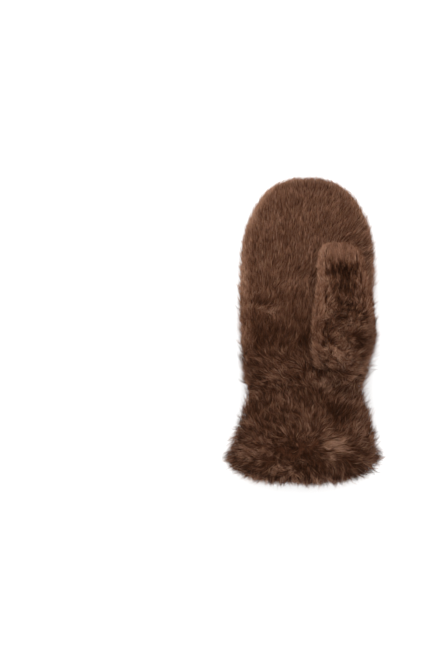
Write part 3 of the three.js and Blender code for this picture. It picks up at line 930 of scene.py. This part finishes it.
def hair_mesh(name, foot, knee, tip, thick, across_hint, tone):
    """One closed mesh of many hairs: each is a spike of three sides with a bend in it."""
    count = len(foot)
    axis = unit(tip - foot)
    across = unit(np.cross(axis, across_hint))
    up = np.cross(axis, across)
    points = np.empty((count, 5, 3))
    points[:, 0] = foot
    for i in range(3):
        spin = 2 * math.pi * i / 3 + math.pi / 6
        points[:, 1 + i] = knee + (across * math.cos(spin) + up * math.sin(spin)) * thick[:, None]
    points[:, 4] = tip
    corners = (HAIR_FACES[None] + 5 * np.arange(count)[:, None, None]).reshape(-1)
    mesh = bpy.data.meshes.new(name)
    mesh.vertices.add(5 * count)
    mesh.vertices.foreach_set("co", points.reshape(-1))
    mesh.loops.add(len(corners))
    mesh.loops.foreach_set("vertex_index", corners)
    mesh.polygons.add(6 * count)
    mesh.polygons.foreach_set("loop_start", np.arange(0, len(corners), 3))
    mesh.polygons.foreach_set("use_smooth", np.ones(6 * count, dtype=bool))
    mesh.update(calc_edges=True)
    mesh.validate()

    kind = DICE.integers(0, HAIR_KINDS, count)
    uv = np.empty((count, 6, 3, 2))
    for f, face in enumerate(HAIR_FACES):
        for corner, point in enumerate(face):
            aside = LOWER_ASIDE[corner] if f < 3 else UPPER_ASIDE[corner]
            uv[:, f, corner, 0] = TONE_FROM + TONE_ROOM * tone + FACE_WIDTH * aside
            uv[:, f, corner, 1] = (kind + HAIR_HEIGHTS[point]) / HAIR_KINDS
    layer = mesh.uv_layers.new(name="OFBake")
    layer.data.foreach_set("uv", uv.reshape(-1))
    mesh.materials.append(HAIR)
    made = bpy.data.objects.new(name, mesh)
    bpy.context.scene.collection.objects.link(made)
    return made


# Turns, bends and rises of the hairs, in radians
CLUMP_TURN = 0.15
STREAK_TURN = 0.14
HAIR_TURN = 0.1
CLUMP_BEND = 0.45
CURL_BEND = 0.4
HAIR_BEND = 0.2
OUTWARD_RISE = 0.4  # where the pile is combed out over an edge
PATCH_RISE = 0.1
HAIR_RISE = 0.1
CLUMP_FALL = 0.2  # of the hairs at the border of a clump
PALE_RISE = 0.1
EDGE_RISE = 0.1
EDGE_RISE_SPREAD = 0.3
TIP_RISE = 0.32  # share of a hair's rise that its tip keeps, on top and at the outline
EDGE_TIP_RISE = 0.55
TIP_DROP = 0.05

# Lengths of the hairs, as shares of the panel's
SHORTEST = 0.78
LONGEST = 1.15
STREAK_GROWTH = 0.08
FRINGE_GROWTH = (0.16, 0.32)  # on smooth and on ragged stretches of the outline
FRINGE_TRIM = (-0.25, -0.2)
FRINGE_SPREAD = 0.15

# Stray hairs
STRAY_SHARE = 0.03
STRAY_RISE = 0.35
STRAY_GROWTH = 1.15

# Where the outline's fringe is ragged
RAGGED = by_y((-130, 0), (-112, 1), (-20, 1), (40, 0))


def hair_turns(root, clump_of, streak_of, loose, look):
    """How far each hair turns from the combed way, and how far it bends on past its knee."""
    count = len(root)
    turn = loose * TURNS(root)
    turn += loose * shared(clump_of, CLUMP_TURN) + bumps(root, PARTED)
    turn += look["swirl"] * (1 - np.minimum(bumps(root, SLEEK), 1)) * SWIRL(root)
    turn += loose * (shared(streak_of, STREAK_TURN) + DICE.normal(0, HAIR_TURN, count))
    bend = CLUMP_BEND * shared(clump_of) + CURL_BEND * CURL(root)
    return turn, look["curl"] * (bend + DICE.normal(0, HAIR_BEND, count))


def hair_growth(root, normal, streak_of, border, loose, outward, pale, look):
    """How long each hair is, as a share, and how steeply it rises from the cloth."""
    count = len(root)
    growth = DICE.uniform(SHORTEST, LONGEST, count) * (1 + STREAK_GROWTH * shared(streak_of))
    growth *= 1 + bumps(root, EDGE_TUFTS)
    rise = look["lift"] + OUTWARD_RISE * np.maximum(outward, 0) + PATCH_RISE * loose * MIDDLE(root)
    rise += DICE.normal(0, HAIR_RISE, count) - CLUMP_FALL * look["clump"] * border
    stray = DICE.random(count) < STRAY_SHARE
    rise = np.where(stray, rise + STRAY_RISE, rise)
    growth = np.where(stray, growth * STRAY_GROWTH, growth)
    sideways = edge(normal)
    rise += sideways * DICE.normal(EDGE_RISE, EDGE_RISE_SPREAD, count) + PALE_RISE * pale
    ragged = RAGGED(root, normal)
    fringe = lerp(*FRINGE_GROWTH, ragged) * FRINGE(root)
    fringe += DICE.normal(lerp(*FRINGE_TRIM, ragged), FRINGE_SPREAD)
    return growth * (1 + sideways * fringe), rise


ROOT_DEPTH = 0.6  # mm, how deep in the cloth a hair starts
KNEE_SHARE = 0.45
TIP_SHARE = 0.55
STREAK_PULL = 0.4  # how far the tips of a streak's hairs are drawn to its middle one
LEAST_PULL = 0.5  # share of it for the loosest hairs
EDGE_FREEDOM = 0.6  # how much less the hairs are drawn at the outline
STREAK_APART = 0.25  # how far apart drawn tips stay, against their roots
CLUMP_APART = 0.3
KNEE_PULL = 0.35  # share of the tip's pull that a knee gets
KNEE_APART = 0.75
LOWEST_FOOT = 0.2  # mm above the floor
LOWEST_KNEE = 0.55
LOWEST_TIP = 0.25


def hair_points(root, normal, way, long, rises, turns, owners):
    """Feet, knees and tips of the hairs, drawn together in their streaks and clumps."""
    side = np.cross(normal, way)

    def heading(turned, rising):
        flat = way * np.cos(turned)[:, None] + side * np.sin(turned)[:, None]
        return flat * np.cos(rising)[:, None] + normal * np.sin(rising)[:, None]

    (rise, tip_rise), (turn, bend) = rises, turns
    foot = root - normal * ROOT_DEPTH * MM
    knee = foot + KNEE_SHARE * long * heading(turn, rise)
    tip = knee + TIP_SHARE * long * heading(turn + bend, tip_rise)
    for owner, pull, kept in owners:
        pull = pull * DICE.uniform(LEAST_PULL, 1.0, len(root))
        pull = (pull * (1 - EDGE_FREEDOM * edge(normal)))[:, None]
        tip += pull * (tip[owner] - tip + kept * (root - root[owner]))
        knee += KNEE_PULL * pull * (knee[owner] - knee + KNEE_APART * (root - root[owner]))
    for points, lowest in ((foot, LOWEST_FOOT), (knee, LOWEST_KNEE), (tip, LOWEST_TIP)):
        points[:, 2] = np.maximum(points[:, 2], lowest * MM)
    return foot, knee, tip


PATCH_TONE = 0.09
CLUMP_TONE = 0.05
BORDER_SHADE = 0.08
STREAKY_TONE = 0.02
PALE_TONE = 0.26
HAIR_GRAIN = 0.75  # of single hairs, against that of their streaks
GROWTH_TONE = 0.15  # longer hairs are lighter
PLAIN_GROWTH = 0.95  # of a hair that its length makes neither lighter nor darker
DARKEST = 0.02
PALEST = 0.92


def hair_tones(root, clump_of, streak_of, border, pale, growth, look):
    """How light each hair is."""
    mottle = look["mottle"]
    tone = look["tone"] + PATCH_TONE * mottle * PATCHES(root)
    tone += CLUMP_TONE * mottle * shared(clump_of) - BORDER_SHADE * mottle * border
    nap = root * ALONG_NAP
    tone += STREAKY_TONE * STREAKY(nap) + look["strands"] * STRANDS(nap) + PALE_TONE * pale
    tone += look["grain"] * (shared(streak_of) + HAIR_GRAIN * DICE.normal(0, 1, len(root)))
    tone += GROWTH_TONE * (growth - PLAIN_GROWTH)
    return np.clip(tone, DARKEST, PALEST)


THINNEST = 0.1  # mm, of a hair at its knee
THICKEST = 0.22
FINER_LOW = 0.22  # how much finer the hairs are on the mitten's lower half
THICKER_UNDER = 0.6  # how much thicker the pressed hairs are under the mitten
COARSE_HAIR = 1.5


def hair_widths(root, normal, look):
    """How thick each hair is at its knee."""
    count = len(root)
    low = from_y(root, 20, -10)
    under = facing_up(normal, -0.5, -0.8)
    thick = DICE.uniform(THINNEST, THICKEST, count)
    thick = thick * (1 - FINER_LOW * low + THICKER_UNDER * under) * MM
    return np.where(DICE.random(count) < look["coarse"], COARSE_HAIR * thick, thick)


CLUMP_BORDER = 1.6  # where its border lies, against its hairs' usual distance from the middle
SLEEK_LOOSE = 0.2  # how loose the hairs of unmottled fur still are
ROLL_SPREAD = 0.3  # of the way that the faces of a hair are turned


def grow_pile(name, sheet, count, share_of, combed, look):
    """Grows one panel's pile: fine streaks of a few hairs, and larger clumps of streaks.

    look gives tone, length, lift, clump, mottle, curl, swirl, grain, strands, coarse and pale, as
    numbers or functions of the roots."""
    root, normal = sample_roots(sheet, count, share_of)
    look = {
        key: item(root, normal) if callable(item) else np.full(count, float(item))
        for key, item in look.items()
    }
    pale = DICE.random(count) < look["pale"]
    clump_of = clumps(root, HAIRS_PER_CLUMP)
    streak_of = clumps(root, HAIRS_PER_STREAK)
    apart = np.linalg.norm(root - root[clump_of], axis=1)
    border = np.clip(apart / (CLUMP_BORDER * np.median(apart)), 0, 1)
    loose = lerp(SLEEK_LOOSE, 1, np.minimum(look["mottle"], 1))

    way = combed_way(root, normal, combed)
    outward = (way * normal).sum(1)
    way = unit(way - normal * outward[:, None])
    turns = hair_turns(root, clump_of, streak_of, loose, look)
    growth, rise = hair_growth(root, normal, streak_of, border, loose, outward, pale, look)
    tip_rise = rise * lerp(TIP_RISE, EDGE_TIP_RISE, edge(normal)) - TIP_DROP
    long = (look["length"] * growth)[:, None] * MM
    owners = (streak_of, STREAK_PULL, STREAK_APART), (clump_of, look["clump"], CLUMP_APART)
    points = hair_points(root, normal, way, long, (rise, tip_rise), turns, owners)
    tone = hair_tones(root, clump_of, streak_of, border, pale, growth, look)
    thick = hair_widths(root, normal, look)
    hint = normal + DICE.normal(0, ROLL_SPREAD, (count, 3))
    return hair_mesh(name, *points, thick, hint, tone)


# Looks of the panels


def right_fan(points):
    """1 on the palm beyond the thumb, where longer hairs fan out over the edge."""
    return from_x(points, 36, 52) * from_y(points, -30, 20)


def root_fan(points):
    """1 at the thumb's root on its outer side, where longer hairs fan out over the edge."""
    return bumps(points, [(56, -27, 10, 14, 1)])


def tangle(points):
    return bumps(points, TANGLED)


def plus(look, amount, spot):
    """A look that gets stronger at one spot."""
    return lambda points, normals: look(points, normals) + amount * spot(points)


BODY_TONE = by_y(
    (-135, 0.48), (-115, 0.4), (-90, 0.37), (-52, 0.46), (-36, 0.37),
    (-15, 0.37), (20, 0.51), (80, 0.56), (135, 0.61),
)
BODY_LENGTH = by_y((-135, 10), (-60, 9), (20, 9), (60, 8.5), (135, 8))
BODY_LIFT = by_y((-135, 0.6), (-60, 0.56), (0, 0.5), (50, 0.38), (135, 0.36))
BODY_CLUMP = by_y((-135, 0.4), (-110, 0.3), (-75, 0.2), (-40, 0.25), (0, 0.2), (60, 0.15))
BODY_MOTTLE = by_y(
    (-135, 1.7), (-112, 1.4), (-96, 0.8), (-66, 0.8), (-48, 1.1),
    (-20, 0.7), (20, 0.45), (60, 0.25), (135, 0.2),
)
BODY_SWIRL = by_y((-135, 0.3), (-110, 0.35), (-60, 0.3), (-25, 0.25), (0, 0.08), (135, 0))
BODY_STRANDS = by_y(
    (-135, 0.15), (-112, 0.12), (-96, 0.03), (-62, 0.03), (-44, 0.1), (-10, 0.04), (30, 0)
)
BODY_CURL = by_y((-135, 0.6), (-40, 0.5), (0, 0.4), (40, 0.15), (135, 0.1))
BODY_GRAIN = by_y((-135, 0.21), (-100, 0.19), (-40, 0.19), (-10, 0.13), (20, 0.1), (135, 0.08))
BODY_PALE = by_y(
    (-135, 0.14), (-108, 0.1), (-90, 0.04), (-60, 0.05), (-30, 0.06), (0, 0.04), (135, 0.03)
)
BODY_LOOK = {
    "length": plus(BODY_LENGTH, 2, right_fan),
    "lift": plus(BODY_LIFT, 0.12, right_fan),
    "clump": BODY_CLUMP,
    "mottle": BODY_MOTTLE,
    "swirl": plus(BODY_SWIRL, 1, tangle),
    "strands": plus(BODY_STRANDS, 0.05, right_fan),
    "curl": BODY_CURL,
    "grain": plus(BODY_GRAIN, 0.06, right_fan),
    "pale": plus(BODY_PALE, 0.08, right_fan),
    "coarse": by_y((-135, 0.15), (-20, 0.12), (20, 0.08), (135, 0.05)),
}
# Painted light at the outline, where the fur faces sideways
EDGE_PAINTED_LIGHT = 0.14
STRIP_LIGHTER = 0.05
STRIP_INSET_LIGHTER = 0.16
STRIP_UNEVEN = 0.06
BESIDE_LIGHTER = 0.07
BESIDE_UNEVEN = 0.1


def body_tone(points, normals):
    on_top = facing_up(normals, 0.0, 0.5)
    # Pale tufts, and painted shade in hollows and partings, on surfaces that face up
    spots = on_top * bumps(points, TUFTS_AND_SHADE)
    # Painted light at the outline, where the surface faces sideways
    return BODY_TONE(points, normals) + EDGE_PAINTED_LIGHT * edge(normals) + spots


def back_tone(points, normals):
    """The back panel's strip beside the palm is lighter, most of all away from the seam."""
    strip = facing_up(normals, -0.3, 0.1) * from_y(points, -40, 0)
    inset = smoothstep(0.95, 0.5, normals[:, 2] + 0.12 * FINE(points))
    lighter = STRIP_LIGHTER + inset * (STRIP_INSET_LIGHTER + STRIP_UNEVEN * MIDDLE(points))
    return body_tone(points, normals) + strip * lighter


def palm_tone(points, normals):
    """The palm takes on some of the strip's tone beside their seam, more in some places."""
    beside = from_x(points, -44, -54) * from_y(points, -40, 0)
    lighter = np.clip(BESIDE_LIGHTER + BESIDE_UNEVEN * FINE(points), 0, 0.2)
    return body_tone(points, normals) + beside * lighter


THUMB_TONE = by_y((-40, 0.33), (-15, 0.36), (0, 0.38), (45, 0.38), (60, 0.44))
THUMB_LENGTH = by_y((-50, 10), (-20, 9), (10, 7.5), (50, 7), (80, 7.5))
THUMB_UNDER_TONE = by_y((-45, 0.5), (-30, 0.41), (-8, 0.45), (12, 0.57), (60, 0.67), (80, 0.75))
THUMB_UNDER_LENGTH = by_y((-50, 12), (-36, 11), (-24, 8), (20, 6.5), (80, 6))
RIM_TIP = (50, 63)  # y in mm where the tip's pale rim begins and is full
RIM_UNEVEN = 2.5
RIM_SIDES = (0.5, 1.1)  # shares of the way from the middle to the seam
RIM_SIDES_UNEVEN = 0.2
OUTER_RIM = 0.35  # strength of the rim on the outer side and on the palm's side
INNER_RIM = 0.75
# Painted light on the thumb's rim, where its fur rises
RIM_PAINTED_LIGHT = 0.24


def thumb_tone(points, normals):
    """Darker than the palm, and lighter towards the tip and the seams on both sides: painted light
    on the rim that rises there.
    """
    x, y = points[:, 0] / MM, points[:, 1] / MM - WRIST_Y
    along = np.clip((y - THUMB_CROTCH) / THUMB_REACH, 0, 1)
    width = lerp(THUMB_TIP_WIDTH, THUMB_WIDTH, section(THUMB_SECTIONS, along, WIDE))
    middle = THUMB_OFFSET + section(THUMB_SECTIONS, along, DRIFT) * THUMB_WIDTH
    across = np.abs(x - middle) / (width / 2 - THUMB_SEAM_INSET)
    uneven = FINE(points)
    sides = smoothstep(*RIM_SIDES, across + RIM_SIDES_UNEVEN * uneven) * from_y(points, -5, 20)
    begins, full = (place * MM for place in RIM_TIP)
    tip = smoothstep(begins, full, points[:, 1] + RIM_UNEVEN * MM * uneven)
    inner = smoothstep(34, 24, x)
    rim = np.maximum(tip, lerp(OUTER_RIM, INNER_RIM, inner) * sides)
    # Pale tufts, and painted shade in hollows and in the valley below the rim
    tone = THUMB_TONE(points, normals) + bumps(points, THUMB_TUFTS_AND_SHADE) * (1 - rim)
    return tone + RIM_PAINTED_LIGHT * rim


def thumb_swirl(points, normals):
    """The thumb's lower half is curly, least at its outer side."""
    return from_y(points, 36, 12) * lerp(0.95, 0.25, from_x(points, 38, 52))


UNDER_INNER_LIGHTER = 0.06
# Painted shade on the thumb's outer side, stronger where it faces sideways
UNDER_OUTER_PAINTED_SHADE = 0.04
UNDER_STEEP_PAINTED_SHADE = 0.16
# Painted light at the thumb's root on its outer side, offsetting shade there
ROOT_FAN_PAINTED_LIGHT = 0.1


def thumb_under_tone(points, normals):
    """Lighter on the palm's side than on the outer side, which carries painted shade, most where
    it faces sideways.
    """
    low = from_y(points, 5, -5)
    outer = from_x(points, 24, 44)
    steep = facing_up(normals, 0.55, 0.15)
    outer_shade = -UNDER_OUTER_PAINTED_SHADE - UNDER_STEEP_PAINTED_SHADE * steep
    rim = (1 - low) * lerp(UNDER_INNER_LIGHTER, outer_shade, outer)
    # Pale tufts, and painted shade in hollows, on the thumb's lower part
    spots = low * bumps(points, THUMB_TUFTS_AND_SHADE)
    return THUMB_UNDER_TONE(points, normals) + rim + spots + ROOT_FAN_PAINTED_LIGHT * root_fan(points)


THUMB_UNDER_LOOK = {
    "tone": thumb_under_tone,
    "length": plus(THUMB_UNDER_LENGTH, 1.5, root_fan),
    "lift": 0.6,
    "clump": by_y((-40, 0.3), (0, 0.25), (40, 0.15)),
    "mottle": by_y((-40, 0.9), (20, 0.5)),
    "curl": by_y((-40, 0.8), (20, 0.3)),
    "swirl": by_y((-40, 0.15), (20, 0)),
    "strands": by_y((-40, 0.06), (0, 0.03), (20, 0)),
    "grain": by_y((-40, 0.14), (20, 0.09), (60, 0.05)),
    "pale": by_y((-40, 0.3), (-10, 0.12), (60, 0.03)),
    "coarse": 0.15,
}
THUMB_TOP_LOOK = {
    "tone": thumb_tone,
    "length": plus(THUMB_LENGTH, 1.5, root_fan),
    "lift": 0.62,
    "clump": by_y((-40, 0.25), (20, 0.2), (80, 0.1)),
    "mottle": by_y((-40, 1.2), (30, 1.0), (60, 0.4)),
    "curl": by_y((-40, 0.8), (10, 0.8), (35, 0.3), (80, 0.1)),
    "swirl": thumb_swirl,
    "strands": by_y((-40, 0.12), (20, 0.13), (48, 0.12), (56, 0.06), (62, 0)),
    "grain": by_y((-40, 0.2), (20, 0.19), (45, 0.17), (56, 0.1), (62, 0.05)),
    "pale": by_y((-40, 0.3), (10, 0.2), (40, 0.08), (60, 0.03)),
    "coarse": 0.25,
}


# Where hairs grow

FLOOR_FACING = -0.6  # a surface that faces down more than this lies on the floor
FLOOR_HAIRS = 0.35
THUMB_FLOOR_HAIRS = 0.4
COVER_TIP = (8, 14)  # mm from the thumb's tip and root where its cover begins and is full
COVER_ROOT = (2, 6)
COVER_SIDES = (0.36, 0.28)  # the same to the sides, as shares of the thumb's width


def thinned(normals, share):
    """Fewer hairs where the mitten lies on the floor."""
    return np.where(normals[..., 2] < FLOOR_FACING, share, 1.0)


def thumb_cover(points):
    """1 where the palm lies deep under the thumb."""
    x, y = points[..., 0] / MM, points[..., 1] / MM - WRIST_Y
    tip, root = THUMB_CROTCH + THUMB_REACH, THUMB_CROTCH - THUMB_BASE_LENGTH
    from_tip = (tip - inset for inset in COVER_TIP)
    from_root = (root + inset for inset in COVER_ROOT)
    under = smoothstep(*from_tip, y) * smoothstep(*from_root, y)
    sides = (share * THUMB_WIDTH for share in COVER_SIDES)
    return under * smoothstep(*sides, np.abs(x - THUMB_OFFSET))


def body_share(points, normals, along):
    return thinned(normals, FLOOR_HAIRS)


def palm_share(points, normals, along):
    return thinned(normals, FLOOR_HAIRS) * (1 - thumb_cover(points))


def thumb_share(points, normals, along):
    """No hairs on the thumb's neck, inside the palm, and few under the thumb."""
    x, y = points[..., 0] / MM, points[..., 1] / MM - WRIST_Y
    free = points[..., 2] / MM > palm_surface(x, y, 0.6)
    return thinned(normals, THUMB_FLOOR_HAIRS) * np.where(y > 0, free, 1.0)


def cuff_share(points, normals, along):
    return thinned(normals, FLOOR_HAIRS) * (along < CUFF_PILE_END)


FULLNESS = 1.0
PILES = [
    # panel, hairs, where they grow, combing, look
    ("back_panel", 33000, body_share, COMBED, {**BODY_LOOK, "tone": back_tone}),
    ("palm_panel", 33000, palm_share, COMBED, {**BODY_LOOK, "tone": palm_tone}),
    ("thumb_back", 17000, thumb_share, THUMB_COMBED, THUMB_UNDER_LOOK),
    ("thumb_front", 16000, thumb_share, THUMB_COMBED, THUMB_TOP_LOOK),
    ("cuff", 33000, cuff_share, COMBED, {**BODY_LOOK, "tone": body_tone}),
]
piles = {}
for panel, hairs, share_of, combed, look in PILES:
    count = int(hairs * FULLNESS)
    piles[panel] = grow_pile(panel + "_pile", SHEETS[panel], count, share_of, combed, look)

for panel, slot in SLOTS.items():
    for piece in (cloths[panel], piles[panel]):
        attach(piece, "root")
        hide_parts(panel)


# Floor and light

FLOOR_SIZE = 6.0
bpy.ops.mesh.primitive_plane_add(size=FLOOR_SIZE, location=(0, 0, 0))
floor = bpy.context.active_object
floor.name = "floor"
floor_material, _, floor_shader = new_material("pale_floor")
floor_shader.inputs["Base Color"].default_value = (0.97, 0.97, 0.97, 1.0)
floor_shader.inputs["Roughness"].default_value = 0.9
floor.data.materials.append(floor_material)


def add_softbox(name, place, size, power):
    """A square light that faces the middle of the frame."""
    data = bpy.data.lights.new(name, "AREA")
    data.shape = "SQUARE"
    data.size = size
    data.energy = power
    light = bpy.data.objects.new(name, data)
    light.location = place
    light.rotation_euler = (-Vector(place)).to_track_quat("-Z", "Y").to_euler()
    bpy.context.scene.collection.objects.link(light)


add_softbox("key_light", place=(-0.15, 1.5, 1.6), size=1.2, power=17.0)
add_softbox("top_light", place=(-0.3, -0.2, 2.4), size=1.6, power=14.0)

world = bpy.data.worlds.new("studio")
bpy.context.scene.world = world
world.use_nodes = True
background = world.node_tree.nodes["Background"]
background.inputs["Color"].default_value = (1.0, 1.0, 1.0, 1.0)
background.inputs["Strength"].default_value = 1.25
bpy.context.scene.view_settings.view_transform = "Standard"
